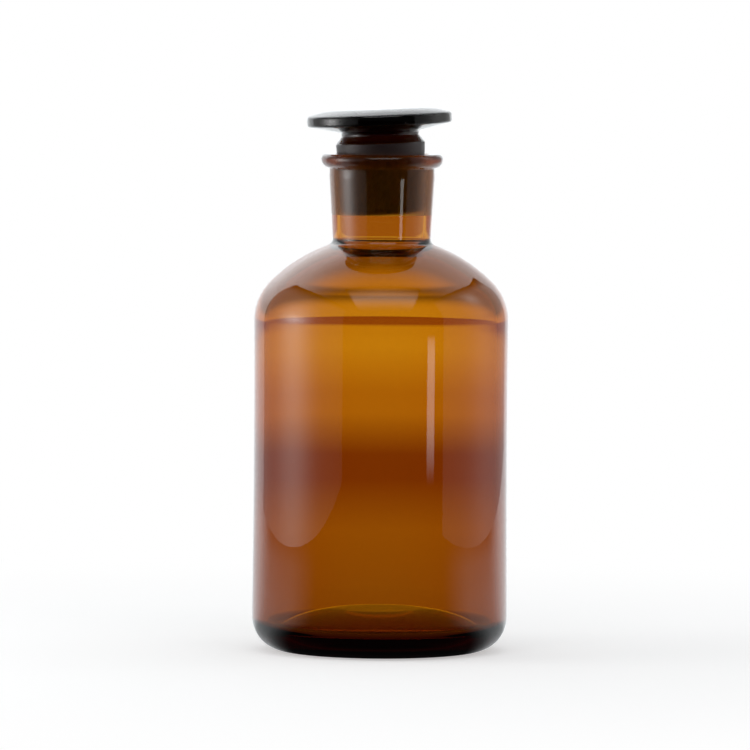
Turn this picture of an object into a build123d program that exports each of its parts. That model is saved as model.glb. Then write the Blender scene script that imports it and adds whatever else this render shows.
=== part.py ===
from build123d import *

import os
from math import asin, cos, sin, sqrt

# Amber glass apothecary jar: a narrow-mouth bottle with a flat-headed stopper ground into its neck.
# Millimetres, +Z up. The origin is the centre of the foot ring, on the surface that the bottle stands on.

# Bottle, outside
mouth_height = 109.3        # foot ring to the top of the lip
body_diameter = 56.3        # just above the heel, where the bottle is widest
shoulder_draw_in = 0.15     # by how much the radius is less at the shoulder
waist_draw_in = 0.2         # by how much the middle of the wall lies inside the line between them
heel_radius = 7.5
foot_ring_width = 1.0       # flat width that touches the table
shoulder_radius = 12.2
crown_reach = 6.6           # by how much the crown's sphere is larger in radius than the shoulder
neck_length = 19.6          # neck root to the top of the lip
neck_draw_in = 0.875        # by how much the neck's radius is less at its root than at its top
neck_root_fillet = 1.4
neck_straight = 5.1         # cylindrical stretch at the top of the neck, lip included
lip_overhang = 1.825        # by how far the lip stands out from the neck
lip_upper_radius = 1.15
lip_under_height = 1.95     # widest ring of the lip down to where it meets the neck

# Bottle, inside
body_wall = 2.4
crown_wall = 2.6
neck_top_wall = 1.585       # glass outside the ground socket, in the plane of the lip
neck_root_wall = 1.8
push_up = 4.4               # hollow under the bottle, at its centre
base_thickness = 4.7        # glass between the push-up and the floor, at the centre
floor_flat_diameter = 17.0  # level middle of the floor inside
floor_edge_height = 3.2     # table to the edge of the domed floor, before it is rounded
floor_edge_radius = 2.2     # round between the floor and the wall
throat_edge_radius = 2.0    # round where the neck opens into the body
mouth_edge_radius = 0.45
foot_edge_radius = 0.6
lip_corner_radius = 0.3

# Ground joint between neck and stopper
joint_taper = 1 / 10        # change of diameter for each unit of length
plug_diameter = 19.3        # stopper cone in the plane of the lip
plug_depth = 13.2           # length of the cone inside the neck
socket_run_out = 1.4        # ground length of the neck below the cone's end
joint_play = 0.34           # radial room between cone and socket
touch_gap = 0.05            # room left where the leaning cone comes nearest to its socket

# Stopper above the lip
collar_height = 2.4         # cone that stands out of the neck
collar_edge_radius = 1.0
waist_inset = 1.27          # by how much the waist's radius is less than the collar's
waist_slope = 1.65          # height of the slope from the collar in to the waist
waist_height = 0.8
waist_lower_radius = 0.6
waist_upper_radius = 0.55
plug_end_radius = 2.0
head_diameter = 31.8
head_flare = 1.65           # rise of the underside from the waist out to the rim
rim_thickness = 2.15
rim_lower_radius = 0.6
rim_upper_radius = 0.7
head_flat_diameter = 17.2   # level middle of the head's top
head_crown = 1.3            # rise of that middle above the rim


def corner(radial, height):
    """The vertex of the open sketch that is nearest to a radius and a height."""
    return vertices().sort_by_distance((radial, height))[0]


def sphere_height(radius, radial):
    """How high a sphere about the axis stands above its centre, at a distance from the axis."""
    return sqrt(radius**2 - radial**2)


body_r = body_diameter / 2
shoulder_r = body_r - shoulder_draw_in
waist_r = body_r - shoulder_draw_in / 2 - waist_draw_in
plug_r = plug_diameter / 2
mouth_r = plug_r + joint_play
neck_top_r = mouth_r + neck_top_wall
neck_root_r = neck_top_r - neck_draw_in
lip_r = neck_top_r + lip_overhang
throat_r = neck_root_r - neck_root_wall
cone_slope = joint_taper / 2

foot_outer_r = body_r - heel_radius
foot_inner_r = foot_outer_r - foot_ring_width
neck_root_z = mouth_height - neck_length
crown_radius = shoulder_r + crown_reach
crown_centre_z = neck_root_z - sphere_height(crown_radius, neck_root_r)
shoulder_z = crown_centre_z + sphere_height(crown_radius, shoulder_r)
wall_middle_z = (heel_radius + shoulder_z) / 2
lip_widest_z = mouth_height - lip_upper_radius
lip_bottom_z = lip_widest_z - lip_under_height

cavity_r = waist_r - body_wall
crown_inner_radius = crown_radius - crown_wall
cavity_shoulder_z = crown_centre_z + sphere_height(crown_inner_radius, cavity_r)
throat_z = crown_centre_z + sphere_height(crown_inner_radius, throat_r)
floor_crest_z = push_up + base_thickness
floor_flat_r = floor_flat_diameter / 2

socket_depth = plug_depth + socket_run_out
socket_end_r = mouth_r - socket_depth * cone_slope
socket_end_z = mouth_height - socket_depth

# Bottle: one blown piece, its whole wall turned from one closed section
with BuildPart() as bottle:
    with BuildSketch(Plane.XZ):
        with BuildLine():
            hollow = TangentArc((0, push_up), (foot_inner_r, 0), tangent=(1, 0))
            foot = Line(hollow @ 1, (foot_outer_r, 0))
            heel = JernArc(foot @ 1, (1, 0), heel_radius, 90)
            wall = ThreePointArc(heel @ 1, (waist_r, wall_middle_z), (shoulder_r, shoulder_z))
            crown = RadiusArc(wall @ 1, (neck_root_r, neck_root_z), -crown_radius)
            taper = Line(crown @ 1, (neck_top_r, mouth_height - neck_straight))
            neck = Line(taper @ 1, (neck_top_r, lip_bottom_z))
            lip_low = TangentArc((lip_r, lip_widest_z), neck @ 1, tangent=(0, -1))
            lip_high = JernArc(lip_low @ 0, (0, 1), lip_upper_radius, 90)
            lip_top = Line(lip_high @ 1, (mouth_r, mouth_height))
            socket = Line(lip_top @ 1, (socket_end_r, socket_end_z))
            throat = Line(socket @ 1, (throat_r, throat_z))
            crown_inside = RadiusArc(throat @ 1, (cavity_r, cavity_shoulder_z), crown_inner_radius)
            wall_inside = Line(crown_inside @ 1, (cavity_r, floor_edge_height))
            floor = TangentArc((floor_flat_r, floor_crest_z), wall_inside @ 1, tangent=(1, 0))
            floor_middle = Line(floor @ 0, (0, floor_crest_z))
            Line(floor_middle @ 1, hollow @ 0)
        make_face()
        fillet(corner(foot_inner_r, 0), foot_edge_radius)
        fillet(corner(shoulder_r, shoulder_z), shoulder_radius)
        fillet(corner(neck_root_r, neck_root_z), neck_root_fillet)
        fillet(corner(neck_top_r, lip_bottom_z), lip_corner_radius)
        fillet(corner(mouth_r, mouth_height), mouth_edge_radius)
        fillet(corner(throat_r, throat_z), throat_edge_radius)
        fillet(corner(cavity_r, cavity_shoulder_z), shoulder_radius - body_wall)
        fillet(corner(cavity_r, floor_edge_height), floor_edge_radius)
    revolve(axis=Axis.Z)

bottle.part.label = "bottle"

# Stopper: one solid pressed piece. It leans to one side by what the play in the joint allows,
# about the middle of its seated cone. Heights below are along its own axis, from that middle.
lean = asin((joint_play - touch_gap) / (plug_depth / 2))
seat_middle = (0, 0, mouth_height - plug_depth / 2)
stopper_plane = Plane(origin=seat_middle, x_dir=(cos(lean), 0, sin(lean)), z_dir=(0, -1, 0))
stopper_axis = Axis(seat_middle, stopper_plane.y_dir)

plug_end_h = -plug_depth / 2
plug_end_r = plug_r - plug_depth * cone_slope
collar_h = plug_depth / 2 + collar_height
collar_r = plug_r + collar_height * cone_slope
stopper_waist_r = collar_r - waist_inset
waist_low_h = collar_h + waist_slope
waist_high_h = waist_low_h + waist_height
rim_low_h = waist_high_h + head_flare
rim_high_h = rim_low_h + rim_thickness
crest_h = rim_high_h + head_crown
head_r = head_diameter / 2
head_flat_r = head_flat_diameter / 2

with BuildPart() as stopper:
    with BuildSketch(stopper_plane):
        with BuildLine():
            top = TangentArc((head_flat_r, crest_h), (head_r, rim_high_h), tangent=(1, 0))
            Polyline(
                top @ 1,
                (head_r, rim_low_h),
                (stopper_waist_r, waist_high_h),
                (stopper_waist_r, waist_low_h),
                (collar_r, collar_h),
                (plug_end_r, plug_end_h),
                (0, plug_end_h),
                (0, crest_h),
                top @ 0,
            )
        make_face()
        fillet(corner(head_r, rim_high_h), rim_upper_radius)
        fillet(corner(head_r, rim_low_h), rim_lower_radius)
        fillet(corner(stopper_waist_r, waist_high_h), waist_upper_radius)
        fillet(corner(stopper_waist_r, waist_low_h), waist_lower_radius)
        fillet(corner(collar_r, collar_h), collar_edge_radius)
        fillet(corner(plug_end_r, plug_end_h), plug_end_radius)
    revolve(axis=stopper_axis)

stopper.part.label = "stopper"

os.makedirs("parts", exist_ok=True)
export_step(bottle.part, "parts/bottle.step")
export_step(stopper.part, "parts/stopper.step")
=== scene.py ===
from math import ceil, cos, pi, radians, sin

import bmesh
import bpy
from mathutils import Matrix, Vector

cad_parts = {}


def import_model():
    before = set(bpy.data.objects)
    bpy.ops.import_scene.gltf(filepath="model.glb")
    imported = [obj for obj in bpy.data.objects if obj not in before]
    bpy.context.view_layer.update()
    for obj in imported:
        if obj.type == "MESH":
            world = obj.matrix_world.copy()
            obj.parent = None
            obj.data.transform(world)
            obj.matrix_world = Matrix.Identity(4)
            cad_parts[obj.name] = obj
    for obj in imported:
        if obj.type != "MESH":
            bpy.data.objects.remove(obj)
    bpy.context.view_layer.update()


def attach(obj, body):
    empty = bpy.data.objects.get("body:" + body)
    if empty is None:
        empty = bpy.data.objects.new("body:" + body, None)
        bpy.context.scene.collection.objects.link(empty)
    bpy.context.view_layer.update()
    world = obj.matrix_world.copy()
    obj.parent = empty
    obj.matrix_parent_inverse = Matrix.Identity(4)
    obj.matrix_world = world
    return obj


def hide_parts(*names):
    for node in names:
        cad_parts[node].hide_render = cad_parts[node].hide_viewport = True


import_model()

# Amber glass apothecary jar: a blown bottle and the pressed stopper that is ground into its neck.
# Both are turned from the wall sections of the CAD solids, as finely as clear glass needs.

MM = 0.001
ROUND = 256                  # facets round the axis of each turned piece
SHORTEST_RUN = 0.04          # millimetres; rounds whose ends are nearer than this join without a run

# Stopper seat: the stopper leans to the side of -X about the middle of its ground cone
SEAT_HEIGHT = 102.7
STOPPER_LEAN = 2.5184

# Ground joint, in millimetres
SOCKET_END = 96.0            # height at which the grinding of the neck ends
SOCKET_RADIUS = 10.3         # everything in the neck that is nearer to the axis than this is ground
CONE_GROUND_TOP = 9.0        # the stopper's polish begins here, measured from the middle of its seat
CONE_GROUND_END = -6.3
GROUND_ROUGHNESS = 0.45

# Glass. Each piece has a clear colour, and a density per metre with which it darkens.
REFRACTION = 1.52
SURFACE_WHITE = 0.97
BOTTLE_AMBER = (0.912, 0.734, 0.0)
BOTTLE_DENSITY = 1090.0
STOPPER_AMBER = (0.87, 0.65, 0.0)
STOPPER_DENSITY = 2000.0

# Relief of the glass, in metres: the slow waves of blown glass, and the grain of what is ground
WAVE_SCALE = 38.0
WAVE_HEIGHT = 0.00004
GRAIN_SCALE = 2600.0
GRAIN_HEIGHT = 0.00002

# Studio
FLOOR_RADIUS = 6.0           # metres
FLOOR_DROP = 0.05            # millimetres from the foot down to the floor, so that they share no plane
COOL_WHITE = (0.95, 0.98, 1.0)
WARM_WHITE = (1.0, 0.97, 0.93)
PURE_WHITE = (1.0, 1.0, 1.0)

# Painted light and shade of the table and backdrop that show through the glass, from the foot outwards:
# painted shadow at the foot, then painted lit and shaded bands
FOOT_SHADE = (0.05, 0.03, 0.02)
NEAR_TABLE = (0.42, 0.29, 0.21)
NEAR_TABLE_LIT = (0.50, 0.33, 0.24)
# painted band of shade on the table behind the jar
DARK_SHADE_BAND = (0.32, 0.13, 0.08)
FAR_TABLE = (0.71, 0.52, 0.41)
BACKDROP = (0.96, 0.89, 0.84)
BACKDROP_TOP = (0.46, 0.22, 0.12)

# Camera: where it looks, in millimetres, and from how far and how steeply
LOOK_AT = (-1.285, 0, 60.645)
CAMERA_AWAY = 1643.98
CAMERA_PITCH = 0.0575
CAMERA_ROLL = 0.0061
CAMERA_LENS = 358.73


class WallSection:
    """Half a wall section in the XZ plane, drawn in millimetres from round to round."""

    def __init__(self, radial, height):
        self.mesh = bmesh.new()
        self.end = self.mesh.verts.new((radial * MM, 0, height * MM))

    def to(self, radial, height, spacing=3.0):
        """A straight run to a point, divided so that its shading stays straight."""
        run = Vector((radial * MM, 0, height * MM)) - self.end.co
        if run.length > SHORTEST_RUN * MM:
            steps = ceil(run.length / (spacing * MM))
            self._sweep(dvec=run / steps, steps=steps)

    def round(self, centre, radius, start, finish, step=5.0, spacing=3.0):
        """A round about a centre, from one angle to another, after a straight run to where it starts."""
        angle = radians(start)
        self.to(centre[0] + radius * cos(angle), centre[1] + radius * sin(angle), spacing)
        self._sweep(
            cent=(centre[0] * MM, 0, centre[1] * MM),
            axis=(0, -1, 0),
            angle=radians(finish - start),
            steps=max(2, ceil(abs(finish - start) / step)),
        )

    def _sweep(self, **path):
        swept = bmesh.ops.spin(self.mesh, geom=[self.end], **path)
        self.end = next(part for part in swept["geom_last"] if isinstance(part, bmesh.types.BMVert))

    def turned(self):
        """The closed glass body that the section sweeps round the Z axis."""
        mesh = self.mesh
        bmesh.ops.remove_doubles(mesh, verts=mesh.verts, dist=1e-7)
        bmesh.ops.spin(
            mesh,
            geom=mesh.verts[:] + mesh.edges[:],
            cent=(0, 0, 0),
            axis=(0, 0, 1),
            angle=2 * pi,
            steps=ROUND,
            use_merge=True,
        )
        bmesh.ops.remove_doubles(mesh, verts=mesh.verts, dist=1e-7)
        bmesh.ops.recalc_face_normals(mesh, faces=mesh.faces)
        for face in mesh.faces:
            face.smooth = True
        return mesh


def to_object(mesh, name, material):
    """Makes a piece of a bmesh."""
    data = bpy.data.meshes.new(name)
    mesh.to_mesh(data)
    mesh.free()
    data.materials.append(material)
    piece = bpy.data.objects.new(name, data)
    bpy.context.scene.collection.objects.link(piece)
    return piece


def bottle_section():
    """Wall of the bottle, from the middle of the push-up round the outside to the middle of the floor."""
    wall = WallSection(0, 4.4)
    wall.round((0, -41.6776), 46.0776, 90, 64.923, step=1.2)           # push-up
    wall.round((19.7839, 0.6), 0.6, -115.077, -90, step=9)             # foot ring
    wall.round((20.65, 7.5), 7.5, -90, 0, step=3)                      # heel
    wall.round((3057.537, 48.8381), 3029.669, 180.782, 179.55, step=0.06)  # waisted wall
    wall.round((15.7617, 72.7124), 12.2, -0.45, 45.28, step=2)         # shoulder
    wall.round((0, 56.796), 34.6, 45.28, 70.256, step=1.5)             # crown
    wall.round((12.1617, 90.6796), 1.4, 250.256, 176.547, step=6)      # root of the neck
    wall.to(11.569, 104.1, spacing=2.0)
    wall.to(11.575, 104.2)                                             # crease below the lip
    wall.to(11.575, 104.3)
    wall.round((11.875, 105.937), 0.3, 180, 100.978, step=12)
    wall.round((11.4457, 108.15), 1.9543, -79.022, 0, step=5)          # lip, below its widest ring
    wall.round((12.25, 108.15), 1.15, 0, 90, step=5)
    wall.round((10.4181, 108.85), 0.45, 90, 177.138, step=9, spacing=0.7)  # edge of the mouth
    wall.to(9.26, 94.7, spacing=2.0)                                   # ground socket
    wall.round((10.975, 88.976), 2.0, 177.124, 251.168, step=6, spacing=1.5)  # throat
    wall.round((0, 56.796), 32.0, 71.168, 45.083, step=1.5)            # crown, inside
    wall.round((15.675, 72.5166), 9.8, 45.083, 0, step=2)              # shoulder, inside
    wall.round((23.275, 7.3441), 2.2, 0, -119.978, step=6)             # edge of the floor
    wall.round((8.5, -18.2695), 27.3695, 60.022, 90, step=1.5)         # floor
    wall.to(0, 9.1, spacing=2.0)
    return wall


def stopper_section():
    """Section of the stopper, from the end of its cone to the middle of its head, on its own axis."""
    solid = WallSection(0, -6.6)
    solid.round((7.0875, -4.6), 2.0, -90, -2.862, step=5, spacing=1.5)      # end of the cone
    solid.round((8.7529, 8.682), 1.0, -2.862, 37.585, step=5, spacing=1.5)  # collar
    solid.round((9.1, 10.8542), 0.6, 217.585, 180, step=6, spacing=0.5)     # waist
    solid.round((9.05, 11.0091), 0.55, 180, 102.57, step=8, spacing=0.5)
    solid.round((15.3, 13.581), 0.6, -77.43, 0, step=8, spacing=1.0)        # rim of the head
    solid.round((15.2, 14.7555), 0.7, 0, 71.168, step=7, spacing=0.6)
    solid.round((8.6, -4.5962), 21.1462, 71.168, 90, step=1)                # domed top
    solid.to(0, 16.55, spacing=1.5)
    return solid


# Materials

def new_material(name):
    material = bpy.data.materials.new(name)
    material.use_nodes = True
    material.node_tree.nodes.clear()
    return material


def node(tree, kind, inputs=None, **settings):
    """A node with its settings and its inputs: a value is set on the socket, an output is linked to it."""
    made = tree.nodes.new(kind)
    for key, value in settings.items():
        setattr(made, key, value)
    for key, value in (inputs or {}).items():
        if isinstance(value, bpy.types.NodeSocket):
            tree.links.new(value, made.inputs[key])
        else:
            made.inputs[key].default_value = value
    return made


def maths(tree, operation, a, b=0.0, c=0.0):
    return node(tree, "ShaderNodeMath", {0: a, 1: b, 2: c}, operation=operation).outputs[0]


def amber_glass(name, ground_mask, amber, density):
    """Amber glass that darkens with its thickness, ground matte where the mask says so."""
    material = new_material(name)
    tree = material.node_tree
    place = node(tree, "ShaderNodeTexCoord").outputs["Object"]
    ground = ground_mask(tree, place)
    grain = node(tree, "ShaderNodeTexNoise", {"Vector": place, "Scale": GRAIN_SCALE, "Detail": 2.0})
    wave = node(tree, "ShaderNodeTexNoise", {"Vector": place, "Scale": WAVE_SCALE, "Detail": 1.0})
    grit = maths(tree, "MULTIPLY", grain.outputs[0], ground)
    waves = maths(tree, "MULTIPLY", wave.outputs[0], WAVE_HEIGHT)
    relief = maths(tree, "ADD", waves, maths(tree, "MULTIPLY", grit, GRAIN_HEIGHT))
    bump = node(tree, "ShaderNodeBump", {"Strength": 1.0, "Distance": 1.0, "Height": relief}).outputs[0]
    shader = node(tree, "ShaderNodeBsdfPrincipled", {
        "Base Color": (SURFACE_WHITE, SURFACE_WHITE, SURFACE_WHITE, 1.0),
        "Metallic": 0.0,
        "Roughness": maths(tree, "MULTIPLY", ground, GROUND_ROUGHNESS),
        "IOR": REFRACTION,
        "Transmission Weight": 1.0,
        "Normal": bump,
    })
    body = node(tree, "ShaderNodeVolumeAbsorption", {"Color": amber + (1.0,), "Density": density})
    node(tree, "ShaderNodeOutputMaterial", {"Surface": shader.outputs[0], "Volume": body.outputs[0]})
    return material


def socket_mask(tree, place):
    """1 on the ground inside of the neck."""
    along = node(tree, "ShaderNodeSeparateXYZ", {0: place})
    flat = node(tree, "ShaderNodeVectorMath", {0: place, 1: (1, 1, 0)}, operation="MULTIPLY").outputs[0]
    radial = node(tree, "ShaderNodeVectorMath", {0: flat}, operation="LENGTH").outputs["Value"]
    inside = maths(tree, "LESS_THAN", radial, SOCKET_RADIUS * MM)
    above = maths(tree, "GREATER_THAN", along.outputs["Z"], SOCKET_END * MM)
    return maths(tree, "MULTIPLY", inside, above)


def cone_mask(tree, place):
    """1 on the ground cone of the stopper, which is measured along the stopper's own axis."""
    own = node(tree, "ShaderNodeVectorRotate", {
        "Vector": place,
        "Center": (0, 0, SEAT_HEIGHT * MM),
        "Axis": (0, 1, 0),
        "Angle": radians(STOPPER_LEAN),
    }, rotation_type="AXIS_ANGLE").outputs[0]
    along = node(tree, "ShaderNodeSeparateXYZ", {0: own}).outputs["Z"]
    below = maths(tree, "LESS_THAN", along, (SEAT_HEIGHT + CONE_GROUND_TOP) * MM)
    above = maths(tree, "GREATER_THAN", along, (SEAT_HEIGHT + CONE_GROUND_END) * MM)
    return maths(tree, "MULTIPLY", below, above)


# The two pieces

bottle_glass = amber_glass("amber_bottle_glass", socket_mask, BOTTLE_AMBER, BOTTLE_DENSITY)
bottle = to_object(bottle_section().turned(), "bottle_glass_wall", bottle_glass)
stopper_mesh = stopper_section().turned()
bmesh.ops.translate(stopper_mesh, verts=stopper_mesh.verts, vec=(0, 0, SEAT_HEIGHT * MM))
bmesh.ops.rotate(
    stopper_mesh,
    verts=stopper_mesh.verts,
    cent=(0, 0, SEAT_HEIGHT * MM),
    matrix=Matrix.Rotation(radians(-STOPPER_LEAN), 3, "Y"),
)
stopper_glass = amber_glass("amber_stopper_glass", cone_mask, STOPPER_AMBER, STOPPER_DENSITY)
stopper = to_object(stopper_mesh, "stopper_glass_solid", stopper_glass)

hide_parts("bottle")
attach(bottle, "bottle")
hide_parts("stopper")
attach(stopper, "stopper")


# Floor, lights and camera

def ramp(tree, along, length, stops):
    """A colour that changes over a length by stops: pairs of a place and a colour."""
    made = node(tree, "ShaderNodeValToRGB", {0: maths(tree, "DIVIDE", along, length)})
    elements = made.color_ramp.elements
    while len(elements) < len(stops):
        elements.new(0.5)
    for element, (place, colour) in zip(elements, stops):
        element.position = place / length
        element.color = colour + (1.0,)
    return made.outputs[0]


def grey(level):
    return (level, level, level)


def fade(tree, value, start, finish, low=0.0, high=1.0):
    """A smooth change from one level to another, between two places."""
    return node(tree, "ShaderNodeMapRange", {
        "Value": value, "From Min": start, "From Max": finish, "To Min": low, "To Max": high,
    }, interpolation_type="SMOOTHSTEP").outputs[0]


def blend(tree, share, first, second):
    return node(tree, "ShaderNodeMixShader", {0: share, 1: first, 2: second}).outputs[0]


def painted_table_light_through_glass(tree, away):
    """Painted light and shade of the table behind the jar, by distance: painted shadow at the foot, then
    painted lit and shaded bands. They show only through the glass.
    """
    tone = ramp(tree, away, 2.1, (
        (0.02, FOOT_SHADE),
        (0.08, NEAR_TABLE),
        (0.31, NEAR_TABLE_LIT),
        (0.50, DARK_SHADE_BAND),
        (0.62, DARK_SHADE_BAND),
        (0.85, FAR_TABLE),
        (1.00, FAR_TABLE),
        (1.40, BACKDROP),
        (1.65, BACKDROP),
        (1.95, BACKDROP_TOP),
    ))
    return node(tree, "ShaderNodeEmission", {"Color": tone, "Strength": 1.0}).outputs[0]


def painted_table_light_in_reflections(tree, place, away):
    """The table as the glass mirrors it, as painted light and shade: bright behind the jar, paler beside it,
    dark in front, with painted shade at the foot and far out beside it.
    """
    back = maths(tree, "DIVIDE", node(tree, "ShaderNodeSeparateXYZ", {0: place}).outputs["Y"], away)
    # painted shade near the foot and beyond the near table, painted light between
    beside = ramp(tree, away, 0.5, (
        (0.0, grey(0.30)),
        (0.05, grey(0.75)),
        (0.19, grey(0.75)),
        (0.25, grey(0.65)),
        (0.31, grey(0.57)),
        (0.36, grey(0.33)),
        (0.40, grey(0.14)),
    ))
    beside = maths(tree, "MULTIPLY", beside, fade(tree, back, -0.6, -0.05, 0.02, 1.0))
    level = node(tree, "ShaderNodeMix", {
        0: fade(tree, back, 0.35, 0.75), 2: beside, 3: 1.25,
    }).outputs[0]
    return node(tree, "ShaderNodeEmission", {"Color": COOL_WHITE + (1.0,), "Strength": level}).outputs[0]


def floor_material():
    """Pale floor: white to the camera, with the jar's shadow. Through the glass and in its reflections it
    glows with painted light and shade of the studio's table.
    """
    material = new_material("pale_floor")
    tree = material.node_tree
    ray = node(tree, "ShaderNodeLightPath").outputs
    place = node(tree, "ShaderNodeTexCoord").outputs["Object"]
    away = node(tree, "ShaderNodeVectorMath", {0: place}, operation="LENGTH").outputs["Value"]
    matte = node(tree, "ShaderNodeBsdfDiffuse", {"Color": (0.8, 0.8, 0.8, 1.0)}).outputs[0]
    glow = node(tree, "ShaderNodeEmission", {"Color": PURE_WHITE + (1.0,), "Strength": 0.45}).outputs[0]
    white = node(tree, "ShaderNodeEmission", {"Color": PURE_WHITE + (1.0,), "Strength": 1.0}).outputs[0]
    near = node(tree, "ShaderNodeAddShader", {0: matte, 1: glow}).outputs[0]
    seen = blend(tree, fade(tree, away, 0.07, 0.25), near, white)
    shown = blend(tree, ray["Is Camera Ray"], matte, seen)
    # reflections and refractions see painted light and shade on the floor instead of its lit surface
    shown = blend(tree, ray["Is Glossy Ray"], shown, painted_table_light_in_reflections(tree, place, away))
    shown = blend(tree, ray["Is Transmission Ray"], shown, painted_table_light_through_glass(tree, away))
    node(tree, "ShaderNodeOutputMaterial", {"Surface": shown})
    return material


def floor():
    mesh = bmesh.new()
    bmesh.ops.create_circle(mesh, cap_ends=True, segments=96, radius=FLOOR_RADIUS)
    bmesh.ops.translate(mesh, verts=mesh.verts, vec=(0, 0, -FLOOR_DROP * MM))
    piece = to_object(mesh, "pale_floor", floor_material())


def panel(name, centre, facing, width, height, ends, glows, soft=(0.0, 0.0, 0.0), tint=PURE_WHITE):
    """A lit diffuser that faces a point. Only reflections show it.

    Its light runs from one level to another between its two ends. Each glow is the bell of light of a lamp
    behind it: its place, its two reaches and its strength. The light fades softly over a length at the
    ends, at the bottom and at the top.
    """
    material = new_material(name)
    tree = material.node_tree
    place = node(tree, "ShaderNodeTexCoord").outputs["Object"]
    parts = node(tree, "ShaderNodeSeparateXYZ", {0: place}).outputs
    across, up = parts["X"], parts["Y"]
    level = node(tree, "ShaderNodeMapRange", {
        "Value": across, "From Min": -width / 2, "From Max": width / 2, "To Min": ends[0], "To Max": ends[1],
    }).outputs[0]
    for x, y, reach_x, reach_y, strength in glows:
        dx = maths(tree, "DIVIDE", maths(tree, "SUBTRACT", across, x), reach_x)
        dy = maths(tree, "DIVIDE", maths(tree, "SUBTRACT", up, y), reach_y)
        square = maths(tree, "ADD", maths(tree, "MULTIPLY", dx, dx), maths(tree, "MULTIPLY", dy, dy))
        bell = maths(tree, "EXPONENT", maths(tree, "MULTIPLY", square, -1.0))
        level = maths(tree, "MULTIPLY_ADD", bell, strength, level)
    at_ends, at_bottom, at_top = soft
    if at_ends:
        off = maths(tree, "ABSOLUTE", across)
        level = maths(tree, "MULTIPLY", level, fade(tree, off, width / 2 - at_ends, width / 2, 1.0, 0.0))
    if at_bottom:
        level = maths(tree, "MULTIPLY", level, fade(tree, up, -height / 2, at_bottom - height / 2))
    if at_top:
        level = maths(tree, "MULTIPLY", level, fade(tree, up, height / 2 - at_top, height / 2, 1.0, 0.0))
    back = node(tree, "ShaderNodeNewGeometry").outputs["Backfacing"]
    level = maths(tree, "MULTIPLY", level, maths(tree, "SUBTRACT", 1.0, back))
    glow = node(tree, "ShaderNodeEmission", {"Color": tint + (1.0,), "Strength": level})
    node(tree, "ShaderNodeOutputMaterial", {"Surface": glow.outputs[0]})
    mesh = bmesh.new()
    bmesh.ops.create_grid(mesh, x_segments=1, y_segments=1, size=0.5)
    bmesh.ops.scale(mesh, verts=mesh.verts, vec=(width, height, 1.0))
    piece = to_object(mesh, name, material)
    direction = Vector(facing) - Vector(centre)
    piece.rotation_mode = "QUATERNION"
    piece.rotation_quaternion = direction.to_track_quat("Z", "Y")
    piece.location = centre
    piece.visible_camera = False
    piece.visible_shadow = False
    piece.visible_transmission = False


def backdrop_in_reflections(tree, direction):
    """The room as the glass mirrors it: a lit backdrop behind, brighter to the left, and dark in front."""
    height = maths(tree, "MAXIMUM", direction["Z"], 0.0)
    right = ramp(tree, height, 1.0, (
        (0.0, grey(0.65)), (0.17, grey(0.65)), (0.34, grey(0.58)), (0.70, grey(0.58)), (0.87, grey(0.50)),
        (1.0, grey(0.20)),
    ))
    left = ramp(tree, height, 1.0, (
        (0.0, grey(0.65)), (0.17, grey(0.70)), (0.34, grey(1.0)), (0.70, grey(1.0)), (0.87, grey(0.55)),
        (1.0, grey(0.20)),
    ))
    level = node(tree, "ShaderNodeMix", {
        0: fade(tree, direction["X"], -0.25, 0.25), 2: left, 3: right,
    }).outputs[0]
    level = maths(tree, "MULTIPLY", level, fade(tree, direction["Y"], -0.3, 0.4, 0.05, 2.0))
    return node(tree, "ShaderNodeBackground", {"Color": COOL_WHITE + (1.0,), "Strength": level}).outputs[0]


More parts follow.
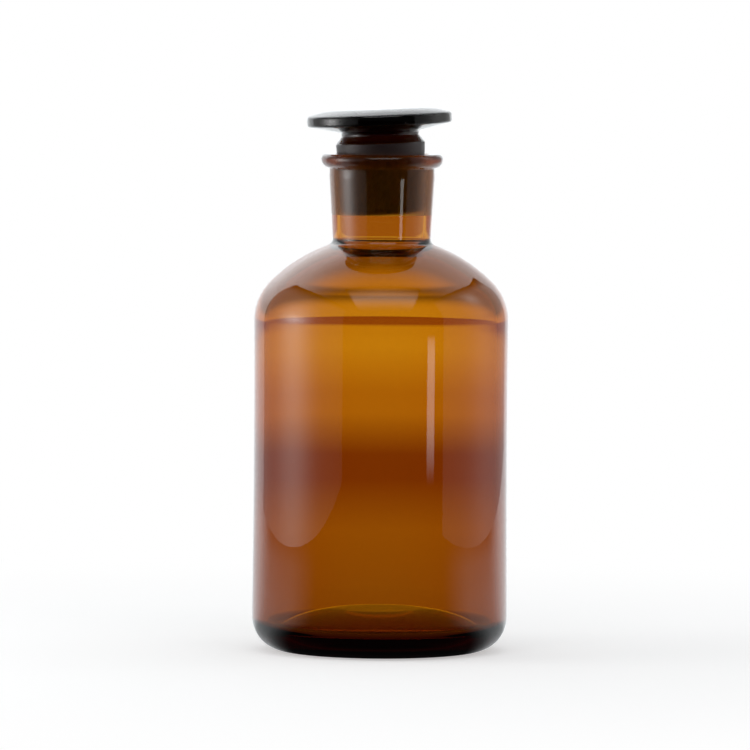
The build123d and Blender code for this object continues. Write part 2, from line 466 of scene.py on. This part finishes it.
def world():
    """White to the camera, and a plain soft light. The glass shows the backdrop of the studio."""
    made = bpy.data.worlds.new("studio")
    bpy.context.scene.world = made
    made.use_nodes = True
    tree = made.node_tree
    tree.nodes.clear()
    ray = node(tree, "ShaderNodeLightPath").outputs
    way = node(tree, "ShaderNodeTexCoord").outputs["Generated"]
    direction = node(tree, "ShaderNodeSeparateXYZ", {0: way}).outputs
    plain = node(tree, "ShaderNodeBackground", {"Color": COOL_WHITE + (1.0,), "Strength": 0.6}).outputs[0]
    white = node(tree, "ShaderNodeBackground", {"Color": PURE_WHITE + (1.0,), "Strength": 1.0}).outputs[0]
    through = node(tree, "ShaderNodeBackground", {
        "Color": WARM_WHITE + (1.0,), "Strength": fade(tree, direction["Z"], 0.03, 0.12, 1.0, 0.38),
    }).outputs[0]
    shown = blend(tree, ray["Is Glossy Ray"], plain, backdrop_in_reflections(tree, direction))
    shown = blend(tree, ray["Is Transmission Ray"], shown, through)
    shown = blend(tree, ray["Is Camera Ray"], shown, white)
    node(tree, "ShaderNodeOutputWorld", {"Surface": shown})


def camera():
    data = bpy.data.cameras.new("camera")
    data.sensor_width = 36.0
    data.lens = CAMERA_LENS
    data.clip_start = 0.05
    data.clip_end = 50
    made = bpy.data.objects.new("camera", data)
    bpy.context.scene.collection.objects.link(made)
    turn = Matrix.Rotation(pi / 2 - CAMERA_PITCH, 4, "X") @ Matrix.Rotation(CAMERA_ROLL, 4, "Z")
    back = Vector((0, -cos(CAMERA_PITCH), sin(CAMERA_PITCH))) * CAMERA_AWAY
    made.matrix_world = Matrix.Translation((Vector(LOOK_AT) + back) * MM) @ turn
    bpy.context.scene.camera = made


floor()
panel(
    "left_diffuser", (-0.30, -0.101, 0.205), (0.0, -0.101, 0.205), 0.688, 0.40, (0.17, 0.60),
    ((0.056, -0.09, 0.10, 0.12, 2.2), (0.056, -0.108, 0.06, 0.03, 2.6)), soft=(0.0, 0.0, 0.12),
)
panel(
    "right_diffuser", (0.30, 0.16, 0.205), (0.0, 0.16, 0.205), 0.72, 0.40, (0.70, 0.25),
    ((0.10, 0.0, 0.10, 0.30, 0.4), (0.09, 0.055, 0.05, 0.05, 1.0)), soft=(0.0, 0.0, 0.10),
)
panel(
    "strip", (0.387, -0.387, 0.023), (0.0, 0.0, 0.023), 0.077, 0.038, (2.7, 2.7), (),
    soft=(0.01, 0.011, 0.012), tint=WARM_WHITE,
)
panel(
    "top_diffuser", (0.02, -0.29, 0.49), (0.0, 0.0, 0.08), 0.48, 0.56, (0.0, 0.0),
    ((0.0, 0.0, 1.0, 0.14, 1.65),), soft=(0.03, 0.0, 0.0),
)
world()
camera()
bpy.context.scene.view_settings.view_transform = "Standard"
